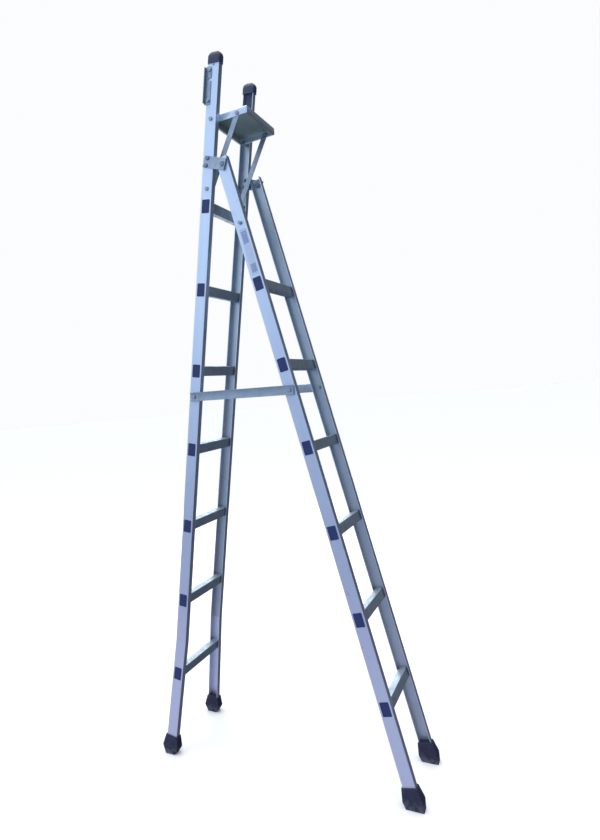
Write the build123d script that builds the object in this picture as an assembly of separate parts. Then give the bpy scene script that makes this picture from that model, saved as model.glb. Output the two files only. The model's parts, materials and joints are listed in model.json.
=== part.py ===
from build123d import *
import math
import os

# Two-section aluminium ladder with a hinged prop section and a standing platform.
# Millimetres, +Z up, standing on the floor at z = 0, rungs along X.
# The base section carries the hinge; the prop section swings about it in the Y-Z plane.
# "Base frame": z runs up the base stiles from the lowest rung, y is square to the stiles, towards the prop.
# "Prop frame": origin on the hinge axis, z runs up the prop stiles.

# Ladder layout
RUNG_PITCH = 305.0
BASE_RUNGS = 7
PROP_RUNGS = 6
BASE_LEAN = 9.4
PROP_LEAN = 12.6
WIDTH = 320.0
PROP_WIDTH = WIDTH - 0.8
FLOOR_TO_FIRST_RUNG = 332.0
PLATFORM_LEVEL = 7.016 * RUNG_PITCH
BASE_TOP = 7.76 * RUNG_PITCH

# Stile channel
WEB = 44.0
FLANGE = 25.0
WALL = 2.2
CORNER = 1.6
FLARE_START = 0.434 * RUNG_PITCH
FLARE_ANGLE = 4.27
STILE_ABOVE_FLOOR = 18.0

# Rungs and their end plugs
RUNG_DEPTH = 28.0
RUNG_HEIGHT = 38.0
RUNG_WALL = 1.9
RUNG_CORNER = 3.0
GROOVE_WIDTH = 1.3
GROOVE_DEPTH = 0.6
RUNG_FIT = 0.05
PLUG_DEPTH = 31.0
PLUG_HEIGHT = 49.0
PLUG_THICK = 1.4
PLUG_SPIGOT = 20.0

# Hinge
PIVOT_LEVEL = 6.475 * RUNG_PITCH
PIVOT_OFFSET = 60.0
PLATE_THICK = 3.0
PLATE_HEIGHT = 42.0
PLATE_BEHIND = 79.0
PLATE_AHEAD = 14.0
PLATE_LIP = 6.0
PLATE_TILT = 12.0
PLATE_BOLT_GAP = 26.0
PLATE_BOLT_REACH = 66.0
PIVOT_RADIUS = 5.0
PROP_TOP_ABOVE_PIVOT = 25.0
PROP_FIRST_RUNG = 1.51 * RUNG_PITCH

# Platform tray and its struts, level when the base leans
TRAY_WIDTH = 256.0
TRAY_BACK = -18.0
TRAY_FRONT = 132.0
TRAY_TOP = 20.0
TRAY_HEIGHT = 26.0
TRAY_WALL = 2.0
STRUT_WIDTH = 20.0
STRUT_THICK = 3.0
STRUT_LOW_LEVEL = 6.207 * RUNG_PITCH
STRUT_TOP_Y = 92.0
STRUT_TOP_Z = 4.0

# Stay bars
STAY_LEVEL = 3.675 * RUNG_PITCH
STAY_ON_PROP = 2.815 * RUNG_PITCH
STAY_HEIGHT = 34.0
STAY_WALL = 2.4
STAY_FLANGE = 9.0
STAY_END = 15.0
STAY_STANDOFF = 4.4

# Swivelling lock plate on the right stile, and the stud on the prop that it catches
STUD_BELOW_PIVOT = 0.747 * RUNG_PITCH
LOCK_LEVEL = PIVOT_LEVEL + STUD_BELOW_PIVOT
LOCK_OFFSET = -13.5
LOCK_BEHIND = 16.5
LOCK_AHEAD = 7.0
LOCK_BELOW = 14.0
LOCK_ABOVE = 119.0
LOCK_THICK = 2.5
LOCK_LIP = 12.0
LOCK_GAP = 0.4
LOCK_NOTCH = 10.4
LOCK_BOLT_RADIUS = 3.0
GRIP_ABOVE_PIVOT = 107.0

# Fasteners
BOLT_RADIUS = 4.0
SCREW_RADIUS = 2.4
SCREW_HEAD = 4.4
SCREW_SINK = 2.0
BORE_FIT = 0.06
BODY_GAP = 0.35
NUT_HEIGHT = 6.0
HEAD_HEIGHT = 5.0

# Moulded ends
CAP_LENGTH = 34.0
CAP_SIDE = 4.0
CAP_CROWN = 8.0
CAP_TONGUE = 69.0
CAP_DOME = 14.0
BOOT_WIDTH = 44.0
BOOT_DEPTH = 70.0
BOOT_BELLY = 30.0
BOOT_HEIGHT = 74.0
BOOT_RIM = 4.5
BOOT_CORNER = 5.0
BOOT_SPARE = 12.0
BASE_SOLE = (31.0, 32.0)
PROP_SOLE = (38.0, 54.0)
LABEL_THICK = 0.3
LABEL_WIDTH = 27.0

HALF = WIDTH / 2
PROP_HALF = PROP_WIDTH / 2
PIVOT_Z = FLOOR_TO_FIRST_RUNG * math.cos(math.radians(BASE_LEAN)) + (
    PIVOT_LEVEL * math.cos(math.radians(BASE_LEAN)) - PIVOT_OFFSET * math.sin(math.radians(BASE_LEAN))
)
PROP_FLOOR = PIVOT_Z / math.cos(math.radians(PROP_LEAN))


def at(x, y, z):
    """Return a plain translation."""
    return Location((x, y, z))


def base_place():
    """Return the placement of the base frame on the floor."""
    height = FLOOR_TO_FIRST_RUNG * math.cos(math.radians(BASE_LEAN))
    return Location((0, 0, height), (-BASE_LEAN, 0, 0))


def prop_place():
    """Return the placement of the prop frame on the hinge axis."""
    pivot = (base_place() * at(0, PIVOT_OFFSET, PIVOT_LEVEL)).position
    return Location((0, pivot.Y, pivot.Z), (PROP_LEAN, 0, 0))


def other_side(shape):
    """Return the left-hand twin of a right-hand shape."""
    return mirror(shape, about=Plane.YZ)


def group(shapes):
    """Return separate solids as one node."""
    return Compound([solid for shape in shapes for solid in shape.solids()])


def pair(shape):
    """Return a right-hand shape and its left-hand twin as one node."""
    return group([shape, other_side(shape)])


def rod(x_from, x_to, radius, y=0.0, z=0.0):
    """Return a round bar along X between two stations."""
    bar = Rot(0, 90, 0) * Cylinder(radius, abs(x_to - x_from))
    return at((x_from + x_to) / 2, y, z) * bar


def hexagon(x_from, x_to, across, y=0.0, z=0.0):
    """Return a hexagonal prism along X, chamfered on its outer end."""
    blank = extrude(Plane.YZ * RegularPolygon(across / 2, 6, major_radius=False), x_to - x_from)
    edges = blank.faces().sort_by(Axis.X)[-1].edges()
    return at(x_from, y, z) * chamfer(edges, 0.7)


def bolt(head_at, end_at, y, z, radius=BOLT_RADIUS, across=13.0):
    """Return a hex bolt along X: its head sits outwards from head_at, its shank ends at end_at."""
    head = hexagon(head_at, head_at + HEAD_HEIGHT, across, y, z)
    return head + rod(end_at, head_at, radius, y, z)


def nut(face_at, y, z, radius=BOLT_RADIUS, across=13.0):
    """Return a hex nut along X whose outer face is at face_at."""
    blank = hexagon(face_at - NUT_HEIGHT, face_at, across, y, z)
    bore = rod(face_at - NUT_HEIGHT - 1, face_at + 1, radius + 0.02, y, z)
    return blank - bore


def bolt_set(head_at, nut_at, y, z, radius=BOLT_RADIUS, across=13.0):
    """Return a bolt and its nut as separate solids."""
    end = nut_at - NUT_HEIGHT - 3
    return [bolt(head_at, end, y, z, radius, across), nut(nut_at, y, z, radius, across)]


def collar(x_from, x_to, radius, y, z, bore=BOLT_RADIUS):
    """Return a round spacer along X."""
    return rod(x_from, x_to, radius, y, z) - rod(x_from - 1, x_to + 1, bore + 0.02, y, z)


# Stiles


def channel_profile(half):
    """Return the right-hand channel section, web outside and flanges inwards."""
    outer = Pos(half - FLANGE / 2, 0) * Rectangle(FLANGE, WEB)
    outer = fillet(outer.vertices().sort_by(Axis.X)[-2:], CORNER)
    hollow = Pos(half - WALL - FLANGE / 2, 0) * Rectangle(FLANGE, WEB - 2 * WALL)
    return outer - hollow


def flare_shift(z):
    """Return how far the flared part of the base web stands outwards at a level."""
    return max(0.0, FLARE_START - z) * math.tan(math.radians(FLARE_ANGLE))


def web_place(z, half=HALF, flared=True):
    """Return the frame on the outer web face at a level: x outwards, z up the stile."""
    shift = flare_shift(z) if flared else 0.0
    turn = -FLARE_ANGLE if shift > 0 else 0.0
    return Location((half + shift, 0, z), (0, turn, 0))


def rung_window(z, half):
    """Return the cutter for the rung's hole in a web."""
    return at(half, 0, z) * Box(4 * WALL + 30, RUNG_DEPTH + 2 * RUNG_FIT, RUNG_HEIGHT + 2 * RUNG_FIT)


def base_levels():
    """Return the level of each base rung, lowest first."""
    return [i * RUNG_PITCH for i in range(BASE_RUNGS)]


def prop_levels():
    """Return the level of each prop rung, highest first."""
    return [-(PROP_FIRST_RUNG + i * RUNG_PITCH) for i in range(PROP_RUNGS)]


def bore_x(y, z, radius, x_from, x_to):
    """Return a cutter for a hole along X."""
    return rod(x_from, x_to, radius + BORE_FIT, y, z)


def web_hole(y, z, radius):
    """Return a cutter for a bolt hole through a web."""
    return bore_x(y, z, radius, HALF - 3 * WALL, HALF + WALL)


def cap_screw_level():
    """Return the level of the screw that pins a cap."""
    return BASE_TOP - CAP_LENGTH - 6


def countersink(gap):
    """Return the cone of a flush screw head on the base web, opened out by a gap."""
    cone = Rot(0, 90, 0) * Cone(SCREW_RADIUS + gap, SCREW_HEAD + gap, SCREW_SINK)
    return at(HALF - SCREW_SINK / 2, 0, cap_screw_level()) * cone


def base_stile():
    """Return a base stile, without the lock's hole: straight above, flared outwards towards the foot."""
    foot = -(FLOOR_TO_FIRST_RUNG - STILE_ABOVE_FLOOR)
    profile = Plane.XY.offset(FLARE_START) * channel_profile(HALF)
    upper = extrude(profile, BASE_TOP - FLARE_START)
    slope = math.radians(FLARE_ANGLE)
    run = (FLARE_START - foot) / math.cos(slope)
    lower = extrude(profile, run, dir=(math.sin(slope), 0, -math.cos(slope)))
    stile = upper + lower
    for z in base_levels():
        stile -= rung_window(z, HALF + flare_shift(z))
    holes = [
        (0, PLATFORM_LEVEL, BOLT_RADIUS),
        (0, STRUT_LOW_LEVEL, BOLT_RADIUS),
        (0, STAY_LEVEL, BOLT_RADIUS),
        (0, cap_screw_level(), SCREW_RADIUS),
    ]
    holes += [(y, z, BOLT_RADIUS) for y, z in plate_bolt_spots()]
    for y, z, radius in holes:
        stile -= web_hole(y, z, radius)
    return stile - countersink(BORE_FIT)


def prop_stile():
    """Return a prop stile, without the keeper stud's hole: straight and square cut, hung on the pivot bolt."""
    foot = -(PROP_FLOOR - STILE_ABOVE_FLOOR)
    profile = Plane.XY.offset(foot) * channel_profile(PROP_HALF)
    stile = extrude(profile, PROP_TOP_ABOVE_PIVOT - foot)
    for z in prop_levels():
        stile -= rung_window(z, PROP_HALF)
    for z, radius in ((0, PIVOT_RADIUS), (-STAY_ON_PROP, BOLT_RADIUS)):
        stile -= web_hole(0, z, radius)
    return stile


# Rungs


def rung_profile():
    """Return the rung's hollow section with grip grooves on all four faces."""
    outline = RectangleRounded(RUNG_DEPTH, RUNG_HEIGHT, RUNG_CORNER)
    inner = RectangleRounded(RUNG_DEPTH - 2 * RUNG_WALL, RUNG_HEIGHT - 2 * RUNG_WALL, 1.0)
    section = outline - inner
    for i in range(5):
        y = (i - 2) * 4.0
        for z in (-RUNG_HEIGHT / 2, RUNG_HEIGHT / 2):
            section -= Pos(y, z) * Rectangle(GROOVE_WIDTH, 2 * GROOVE_DEPTH)
    for i in range(5):
        z = (i - 2) * 6.0
        for y in (-RUNG_DEPTH / 2, RUNG_DEPTH / 2):
            section -= Pos(y, z) * Rectangle(2 * GROOVE_DEPTH, GROOVE_WIDTH)
    return section


def rung(z, half, flared):
    """Return one rung, flush with the outer faces of both webs."""
    reach = half + (flare_shift(z - RUNG_HEIGHT) if flared else 0.0) + 2
    bar = at(-reach, 0, z) * extrude(Plane.YZ * rung_profile(), 2 * reach)
    outside = web_place(z, half, flared) * at(20, 0, 0) * Box(40, 60, 60)
    return bar - outside - other_side(outside)


def rung_plug(z, half, flared):
    """Return one moulded end plug: a thin flange on the web and a spigot in the tube."""
    flange = extrude(Plane.YZ * RectangleRounded(PLUG_DEPTH, PLUG_HEIGHT, 3.0), PLUG_THICK)
    flange = chamfer(flange.faces().sort_by(Axis.X)[-1].edges(), 0.5)
    depth = RUNG_DEPTH - 2 * RUNG_WALL - 0.6
    height = RUNG_HEIGHT - 2 * RUNG_WALL - 0.6
    # The lowest base rung runs straight out while its web slopes, so its spigot is shorter in height.
    if flared and flare_shift(z) > 0:
        height -= 4.0
    spigot = at(-PLUG_SPIGOT / 2, 0, 0) * Box(PLUG_SPIGOT, depth, height)
    return web_place(z, half, flared) * (flange + spigot)


def plug_row(levels, half, flared):
    """Return all the end plugs of one right-hand stile."""
    return group(rung_plug(z, half, flared) for z in levels)


# Moulded caps and boots


def top_cap():
    """Return the domed cap on a base stile, with the tongue that grips inside the channel."""
    centre = HALF - FLANGE / 2
    top = BASE_TOP + CAP_CROWN
    wide, deep = FLANGE + 2 * CAP_SIDE, WEB + 2 * CAP_SIDE
    block = at(centre, 0, top - (CAP_LENGTH + CAP_CROWN) / 2) * Box(wide, deep, CAP_LENGTH + CAP_CROWN)
    block = fillet(block.edges().filter_by(Axis.Z), 5.0)
    block = fillet(block.faces().sort_by(Axis.Z)[-1].edges(), CAP_DOME)
    slot = extrude(Plane.XY.offset(BASE_TOP - CAP_LENGTH - 1) * channel_profile(HALF), CAP_LENGTH + 1)
    tongue_low = BASE_TOP - CAP_LENGTH - CAP_TONGUE
    tongue_wide = FLANGE - WALL - 4.0
    tongue_x = HALF - WALL - 0.1 - tongue_wide / 2
    tongue = Box(tongue_wide, WEB - 2 * WALL - 0.4, CAP_TONGUE + 10)
    tongue = at(tongue_x, 0, tongue_low + (CAP_TONGUE + 10) / 2) * tongue
    screw_hole = bore_x(0, cap_screw_level(), SCREW_RADIUS, HALF - 20, HALF + 5)
    return block - slot + (tongue - screw_hole)


def cap_screw():
    """Return the flush screw that pins the cap's tongue to the web."""
    z = cap_screw_level()
    drive = at(HALF, 0, z) * Box(1.6, 1.0, 6.0)
    return countersink(0) + rod(HALF - 16, HALF - SCREW_SINK, SCREW_RADIUS, 0, z) - drive


def boot(outwards, sole):
    """Return one rubber boot in its stile's frame, widest at its belly and tapered to the sole.

    z = 0 is where the stile's axis meets the floor; BOOT_SPARE below it is trimmed off later.
    """
    sections = [
        (-BOOT_SPARE, *sole),
        (BOOT_BELLY, BOOT_WIDTH, BOOT_DEPTH),
        (BOOT_HEIGHT, FLANGE + 2 * BOOT_RIM, WEB + 2 * BOOT_RIM),
    ]
    outlines = [Plane.XY.offset(z) * RectangleRounded(wide, deep, BOOT_CORNER) for z, wide, deep in sections]
    body = loft(outlines, ruled=True)
    pocket = at(0, 0, STILE_ABOVE_FLOOR + 50) * Box(FLANGE + 0.1, WEB + 0.1, 100)
    return at(outwards, 0, 0) * (body - pocket)


def above_floor(shape):
    """Trim a placed boot flat on the floor."""
    return shape - at(0, 0, -50) * Box(2000, 4000, 100)


def base_boot():
    """Return the right base boot, on the floor and in line with the flared foot."""
    z = -FLOOR_TO_FIRST_RUNG
    place = base_place() * web_place(z)
    return above_floor(place * boot(-FLANGE / 2, BASE_SOLE))


def prop_boot():
    """Return the right prop boot on the floor."""
    return above_floor(prop_place() * at(PROP_HALF, 0, -PROP_FLOOR) * boot(-FLANGE / 2, PROP_SOLE))


# Hinge


def plate_bolt_spots():
    """Return (y, z) of the two bolts that clamp a tilted hinge plate."""
    tilt = math.radians(PLATE_TILT)
    spots = []
    for across in (-PLATE_BOLT_GAP / 2, PLATE_BOLT_GAP / 2):
        y = PIVOT_OFFSET - PLATE_BOLT_REACH * math.cos(tilt) + across * math.sin(tilt)
        z = PIVOT_LEVEL + PLATE_BOLT_REACH * math.sin(tilt) + across * math.cos(tilt)
        spots.append((y, z))
    return spots


def hinge_plate():
    """Return the right hinge plate, bolted outside the base web with a turned-out front lip."""
    middle = (PLATE_AHEAD - PLATE_BEHIND) / 2
    sheet = RectangleRounded(PLATE_AHEAD + PLATE_BEHIND, PLATE_HEIGHT, 4.0)
    plate = at(HALF, middle, 0) * extrude(Plane.YZ * sheet, PLATE_THICK)
    lip = Box(PLATE_THICK + PLATE_LIP, PLATE_THICK, PLATE_HEIGHT - 8)
    plate += at(HALF + (PLATE_THICK + PLATE_LIP) / 2, PLATE_AHEAD - PLATE_THICK / 2, 0) * lip
    plate = Location((0, PIVOT_OFFSET, PIVOT_LEVEL), (-PLATE_TILT, 0, 0)) * plate
    for y, z in plate_bolt_spots():
        plate -= bore_x(y, z, BOLT_RADIUS, HALF - 1, HALF + 20)
    return plate - bore_x(PIVOT_OFFSET, PIVOT_LEVEL, PIVOT_RADIUS, HALF - 1, HALF + 20)


def plate_bolts():
    """Return the two bolts and nuts that clamp the right hinge plate."""
    solids = []
    for y, z in plate_bolt_spots():
        solids += bolt_set(HALF + PLATE_THICK, HALF - WALL, y, z)
    return group(solids)


def pivot_bolt():
    """Return the right pivot bolt and its nut, which runs clear of the prop web."""
    inner_face = PROP_HALF - WALL - BODY_GAP
    return group(bolt_set(HALF + PLATE_THICK, inner_face, PIVOT_OFFSET, PIVOT_LEVEL, PIVOT_RADIUS, 16.0))


# Platform


def tray_place():
    """Return the tray's level frame on the platform bolts, in the base frame."""
    return Location((0, 0, PLATFORM_LEVEL), (BASE_LEAN, 0, 0))


def platform_tray():
    """Return the folded tray: a ribbed tread with a skirt turned down all round."""
    depth = TRAY_FRONT - TRAY_BACK
    middle = (TRAY_FRONT + TRAY_BACK) / 2
    outer = at(0, middle, TRAY_TOP - TRAY_HEIGHT / 2) * Box(TRAY_WIDTH, depth, TRAY_HEIGHT)
    outer = fillet(outer.edges().filter_by(Axis.Z), 4.0)
    outer = fillet(outer.faces().sort_by(Axis.Z)[-1].edges(), 2.0)
    hollow = Box(TRAY_WIDTH - 2 * TRAY_WALL, depth - 2 * TRAY_WALL, TRAY_HEIGHT)
    tray = outer - at(0, middle, TRAY_TOP - TRAY_HEIGHT / 2 - TRAY_WALL) * hollow
    tray -= bore_x(0, 0, BOLT_RADIUS, -TRAY_WIDTH, TRAY_WIDTH)
    tray -= bore_x(STRUT_TOP_Y, STRUT_TOP_Z, BOLT_RADIUS, -TRAY_WIDTH, TRAY_WIDTH)
    return tray_place() * tray


def tread_ribs():
    """Return the raised grip ribs on top of the tray."""
    length = TRAY_WIDTH - 36
    ribs = []
    for i in range(7):
        y = TRAY_BACK + 21 + i * 18
        bar = at(0, y, TRAY_TOP + 0.8) * Box(length, 5.0, 1.6)
        ribs.append(chamfer(bar.faces().sort_by(Axis.Z)[-1].edges(), 0.6))
    return tray_place() * group(ribs)


def strut_top():
    """Return the strut's upper bolt centre in the base frame."""
    return (tray_place() * at(0, STRUT_TOP_Y, STRUT_TOP_Z)).position


def platform_strut():
    """Return the right flat strut from the tray's skirt down to the base stile."""
    top = strut_top()
    rise, run = top.Z - STRUT_LOW_LEVEL, top.Y
    length = math.hypot(rise, run)
    turn = math.degrees(math.atan2(run, rise))
    outline = SlotCenterToCenter(length, STRUT_WIDTH, rotation=90)
    blank = extrude(Plane.YZ * outline, STRUT_THICK)
    outer = TRAY_WIDTH / 2 - TRAY_WALL
    place = Location((outer - STRUT_THICK, run / 2, STRUT_LOW_LEVEL + rise / 2), (-turn, 0, 0))
    strut = place * blank
    strut -= bore_x(0, STRUT_LOW_LEVEL, BOLT_RADIUS, 0, HALF)
    return strut - bore_x(top.Y, top.Z, BOLT_RADIUS, 0, HALF)


def platform_bolt():
    """Return the right bolt and nut that carry the tray's back."""
    return group(bolt_set(HALF, TRAY_WIDTH / 2 - TRAY_WALL, 0, PLATFORM_LEVEL))


def platform_spacer():
    """Return the spacer tube between the web and the tray."""
    return collar(TRAY_WIDTH / 2, HALF - WALL, 7.5, 0, PLATFORM_LEVEL)


def strut_low_bolt():
    """Return the right bolt and nut at a strut's foot."""
    return group(bolt_set(HALF, TRAY_WIDTH / 2 - TRAY_WALL - STRUT_THICK, 0, STRUT_LOW_LEVEL))


def strut_spacer():
    """Return the spacer tube between the web and a strut's foot."""
    return collar(TRAY_WIDTH / 2 - TRAY_WALL, HALF - WALL, 7.5, 0, STRUT_LOW_LEVEL)


def strut_top_bolt():
    """Return the right bolt and nut at a strut's head."""
    top = strut_top()
    return group(bolt_set(TRAY_WIDTH / 2, TRAY_WIDTH / 2 - TRAY_WALL - STRUT_THICK, top.Y, top.Z))


# Stay bars


def stay_ends():
    """Return the stay's two bolt centres in the base frame."""
    prop_point = prop_place() * at(0, 0, -STAY_ON_PROP)
    far = (base_place().inverse() * prop_point).position
    return Vector(0, 0, STAY_LEVEL), Vector(0, far.Y, far.Z)


def stay_length():
    """Return the distance between a stay's bolt centres."""
    near, far = stay_ends()
    return (far - near).length


def stay_place():
    """Return the stay's frame in the base frame: y runs along the bar towards the prop."""
    near, far = stay_ends()
    run = far - near
    turn = math.degrees(math.atan2(run.Z, run.Y))
    return Location((HALF, 0, STAY_LEVEL), (turn, 0, 0))


def stay_bar():
    """Return the right stay: a shallow channel bar with its flanges turned out."""
    length = stay_length()
    full = length + 2 * STAY_END
    outer = at(STAY_STANDOFF + STAY_FLANGE / 2, length / 2, 0) * Box(STAY_FLANGE, full, STAY_HEIGHT)
    trough = at(STAY_STANDOFF + STAY_WALL + STAY_FLANGE / 2, length / 2, 0)
    bar = outer - trough * Box(STAY_FLANGE, full + 2, STAY_HEIGHT - 2 * STAY_WALL)
    for y in (0, length):
        bar -= bore_x(y, 0, BOLT_RADIUS, 0, 30)
    return stay_place() * bar


def stay_pivot():
    """Return the right stay's bolt, nut and stand-off collar on the base web."""
    head_at = HALF + STAY_STANDOFF + STAY_WALL + BODY_GAP
    stand = collar(HALF, HALF + STAY_STANDOFF - BODY_GAP, 9.0, 0, STAY_LEVEL)
    return group([*bolt_set(head_at, HALF - WALL, 0, STAY_LEVEL), stand])


def stay_end_bolt():
    """Return the bolt and collar on the stay's prop end, cut off clear of the prop's web."""
    length = stay_length()
    head_at = STAY_STANDOFF + STAY_WALL
    stub = 1.8
    shank = bolt(head_at, stub, length, 0)
    ring = collar(stub, STAY_STANDOFF, 9.0, length, 0)
    return group([stay_place() * shank, stay_place() * ring])


def stay_stud():
    """Return the threaded stud and nut inside the prop web, in line with a stay's end bolt."""
    shank = rod(PROP_HALF - WALL - NUT_HEIGHT - 3, PROP_HALF, BOLT_RADIUS, 0, -STAY_ON_PROP)
    return group([shank, nut(PROP_HALF - WALL, 0, -STAY_ON_PROP)])


# Lock plate


def lock_plate():
    """Return the swivelling lock plate: a slotted strip with one edge turned out as a grip."""
    wide = LOCK_BEHIND + LOCK_AHEAD
    high = LOCK_BELOW + LOCK_ABOVE
    centre_y = (LOCK_AHEAD - LOCK_BEHIND) / 2
    centre_z = (LOCK_ABOVE - LOCK_BELOW) / 2
    sheet = Pos(centre_y, centre_z) * RectangleRounded(wide, high, 5.0)
    reach = PIVOT_OFFSET - LOCK_OFFSET
    notch = Pos(LOCK_AHEAD / 2 + 2, reach) * Rectangle(LOCK_AHEAD + 4, LOCK_NOTCH)
    seat = Pos(0, reach) * Circle(LOCK_NOTCH / 2)
    plate = extrude(Plane.YZ * (sheet - notch - seat), LOCK_THICK)
    lip = Box(LOCK_THICK + LOCK_LIP, LOCK_THICK, high - 10)
    plate += at((LOCK_THICK + LOCK_LIP) / 2, -LOCK_BEHIND + LOCK_THICK / 2, centre_z) * lip
    plate -= bore_x(0, 0, LOCK_BOLT_RADIUS, -5, 10)
    plate -= bore_x(0, GRIP_ABOVE_PIVOT, SCREW_RADIUS, -5, 10)
    return at(HALF + LOCK_GAP, LOCK_OFFSET, LOCK_LEVEL) * plate


def lock_pivot():
    """Return the lock plate's pivot bolt and nut."""
    head_at = HALF + LOCK_GAP + LOCK_THICK + BODY_GAP
    return group(bolt_set(head_at, HALF - WALL, LOCK_OFFSET, LOCK_LEVEL, LOCK_BOLT_RADIUS, 10.0))


def lock_grip():
    """Return the rivet with a round head at the lock plate's free end."""
    face = HALF + LOCK_GAP + LOCK_THICK
    z = LOCK_LEVEL + GRIP_ABOVE_PIVOT
    head = rod(face, face + 4, 6.5, LOCK_OFFSET, z)
    head = fillet(head.faces().sort_by(Axis.X)[-1].edges(), 2.0)
    return head + rod(HALF + LOCK_GAP, face, SCREW_RADIUS, LOCK_OFFSET, z)


def keeper_stud():
    """Return the headed stud on the prop web that the lock plate drops over."""
    z = -STUD_BELOW_PIVOT
    head_at = PROP_HALF + LOCK_THICK + 3 * LOCK_GAP + 1.2
    neck = rod(PROP_HALF - WALL - NUT_HEIGHT - 2, head_at, BOLT_RADIUS, 0, z)
    head = rod(head_at, head_at + 3, 7.0, 0, z)
    head = chamfer(head.faces().sort_by(Axis.X)[-1].edges(), 1.0)
    return group([neck + head, nut(PROP_HALF - WALL, 0, z)])


# Labels


def blank_label():
    """Return the plain label on the right prop web, between the keeper stud and the first rung."""
    low, high = 1.40 * RUNG_PITCH, 0.83 * RUNG_PITCH
    sheet = RectangleRounded(LABEL_WIDTH, low - high, 3.0)
    label = extrude(Plane.YZ * sheet, LABEL_THICK)
    return at(PROP_HALF, 2, -(low + high) / 2) * label


def base_nodes():
    """Return the nodes that are fixed to the base section, in the base frame."""
    stile = base_stile()
    nodes = {
        "base_rung_plugs_right": plug_row(base_levels(), HALF, True),
        "base_cap_right": top_cap(),
        "hinge_plate_right": hinge_plate(),
        "platform_strut_right": platform_strut(),
    }
    for name in list(nodes):
        nodes[name.replace("_right", "_left")] = other_side(nodes[name])
    nodes["base_stile_right"] = stile - web_hole(LOCK_OFFSET, LOCK_LEVEL, LOCK_BOLT_RADIUS)
    nodes["base_stile_left"] = other_side(stile)
    for i, z in enumerate(base_levels(), start=1):
        nodes[f"base_rung_{i}"] = rung(z, HALF, True)
    nodes["platform_tray"] = platform_tray()
    nodes["platform_tread_ribs"] = tread_ribs()
    nodes["cap_screws"] = pair(cap_screw())
    nodes["hinge_plate_bolts"] = pair(plate_bolts())
    nodes["hinge_pivot_bolts"] = pair(pivot_bolt())
    nodes["platform_bolts"] = pair(platform_bolt())
    nodes["platform_spacers"] = pair(platform_spacer())
    nodes["strut_foot_bolts"] = pair(strut_low_bolt())
    nodes["strut_spacers"] = pair(strut_spacer())
    nodes["strut_head_bolts"] = pair(strut_top_bolt())
    nodes["stay_pivot_bolts"] = pair(stay_pivot())
    nodes["stay_bar_right"] = stay_bar()
    nodes["stay_bar_left"] = other_side(stay_bar())
    nodes["stay_end_bolt_right"] = stay_end_bolt()
    nodes["stay_end_bolt_left"] = other_side(stay_end_bolt())
    nodes["lock_plate"] = lock_plate()
    nodes["lock_pivot_bolt"] = lock_pivot()
    nodes["lock_grip_rivet"] = lock_grip()
    return nodes


def prop_nodes():
    """Return the nodes that are fixed to the prop section, in the prop frame."""
    stile = prop_stile()
    nodes = {
        "prop_rung_plugs_right": plug_row(prop_levels(), PROP_HALF, False),
        "prop_label_right": blank_label(),
    }
    for name in list(nodes):
        nodes[name.replace("_right", "_left")] = other_side(nodes[name])
    nodes["prop_stile_right"] = stile - web_hole(0, -STUD_BELOW_PIVOT, BOLT_RADIUS)
    nodes["prop_stile_left"] = other_side(stile)
    for i, z in enumerate(prop_levels(), start=1):
        nodes[f"prop_rung_{i}"] = rung(z, PROP_HALF, False)
    nodes["prop_stay_studs"] = pair(stay_stud())
    nodes["lock_keeper_stud"] = keeper_stud()
    return nodes


def boot_nodes():
    """Return the four boots, already standing on the floor."""
    right = {"base_boot_right": base_boot(), "prop_boot_right": prop_boot()}
    left = {name.replace("_right", "_left"): other_side(shape) for name, shape in right.items()}
    return {**right, **left}


def ladder():
    """Return every node placed on the floor, with the footprint centred on the origin."""
    boots = boot_nodes()
    front = min(shape.bounding_box().min.Y for shape in boots.values())
    back = max(shape.bounding_box().max.Y for shape in boots.values())
    centre = at(0, -(front + back) / 2, 0)
    nodes = {name: centre * shape for name, shape in boots.items()}
    nodes.update({name: centre * base_place() * shape for name, shape in base_nodes().items()})
    nodes.update({name: centre * prop_place() * shape for name, shape in prop_nodes().items()})
    return nodes, centre


def print_joints(centre):
    """Print the joint centres, in metres."""
    points = {
        "hinge": base_place() * at(0, PIVOT_OFFSET, PIVOT_LEVEL),
        "stay": base_place() * at(0, 0, STAY_LEVEL),
        "lock": base_place() * at(HALF, LOCK_OFFSET, LOCK_LEVEL),
        "platform": base_place() * tray_place() * at(0, (TRAY_FRONT + TRAY_BACK) / 2, TRAY_TOP + 1.6),
    }
    for name, place in points.items():
        point = (centre * place).position
        print(name, [round(value / 1000, 5) for value in point])
    print("stay turn in the base frame", round((stay_place()).orientation.X, 3), "length", round(stay_length(), 2))


def main():
    os.makedirs("parts", exist_ok=True)
    nodes, centre = ladder()
    for name, shape in nodes.items():
        export_step(shape, f"parts/{name}.step")
    print_joints(centre)
    print(len(nodes), "nodes")


if __name__ == "__main__":
    main()
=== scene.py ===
"""Looks for the folding two-section ladder: finishes, moulded ends, sheet parts, studio and camera."""

import json
import logging
import math
from collections.abc import Iterable
from dataclasses import dataclass, field
from enum import Enum

import bmesh
import bpy
from mathutils import Matrix, Vector


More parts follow.
